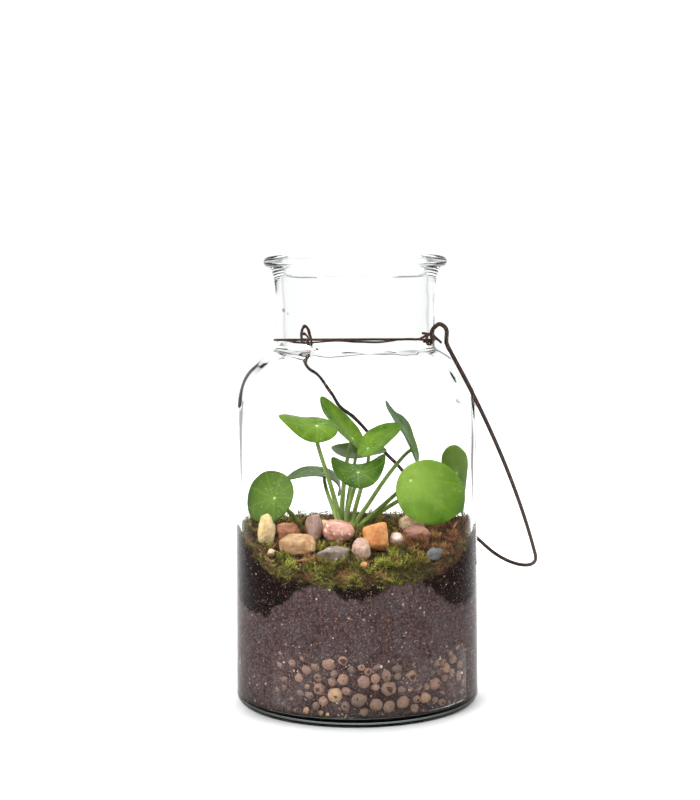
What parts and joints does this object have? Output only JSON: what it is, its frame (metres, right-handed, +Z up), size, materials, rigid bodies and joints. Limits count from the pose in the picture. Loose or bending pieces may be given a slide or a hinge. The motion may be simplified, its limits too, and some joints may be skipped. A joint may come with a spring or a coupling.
{
  "type": "glass jar plant terrarium",
  "caption": "Clear glass jar with a swinging wire bail, planted with a round-leaved money plant in soil over clay balls, with moss and pebbles.",
  "frame": {"origin": "centre of the jar's flat base", "axes": "+Z up along the jar's axis, -Y towards the viewer's front, +X to the right"},
  "size_m": [0.1989, 0.1917, 0.275],
  "materials": {
    "clear_glass": "clear, slightly wavy",
    "rusty_wire": "dark, rusty",
    "dark_wire": "dark brown, worn",
    "expanded_clay": "matt, dusty",
    "soil": "crumbly, damp",
    "moss": "tufted",
    "pebble": "smooth, matt",
    "leaf": "glossy, waxy",
    "stem": "satin",
    "twig": "rough"
  },
  "bodies": {
    "jar": {"glass_jar": "clear_glass", "neck_wire": "rusty_wire", "drainage_clay": "expanded_clay", "potting_soil": "soil", "moss_front": "moss", "moss_right": "moss", "moss_back_right": "moss", "moss_back": "moss", "moss_back_left": "moss", "moss_left": "moss", "moss_middle": "moss", "pebble_cream_tall": "pebble", "pebble_brown_red": "pebble", "pebble_tan_block": "pebble", "pebble_mauve": "pebble", "pebble_cream_small": "pebble", "pebble_pink_oval": "pebble", "pebble_grey_brown": "pebble", "pebble_pinkish": "pebble", "pebble_orange": "pebble", "pebble_pink_white": "pebble", "pebble_reddish_flat": "pebble", "pebble_tan_back": "pebble", "pebble_purple": "pebble", "pebble_slate": "pebble", "pebble_cream_bead": "pebble", "pebble_orange_bead": "pebble", "leaf_left_upper": "leaf", "leaf_top": "leaf", "leaf_right_upper": "leaf", "leaf_front_cup": "leaf", "leaf_back": "leaf", "leaf_left_back": "leaf", "leaf_left_low": "leaf", "leaf_right_front": "leaf", "leaf_upright": "leaf", "leaf_right_back": "leaf", "plant_stem": "stem", "twig_front": "twig", "twig_right": "twig", "twig_left": "twig"},
    "bail": {"bail_handle": "dark_wire"}
  },
  "joints": [
    {"name": "bail_swing", "type": "hinge", "parent": "jar", "child": "bail", "pos_m": [0.00212, 0.00196, 0.223], "axis": [0.6788, -0.7343, 0], "range_deg": [0, 266]}
  ]
}
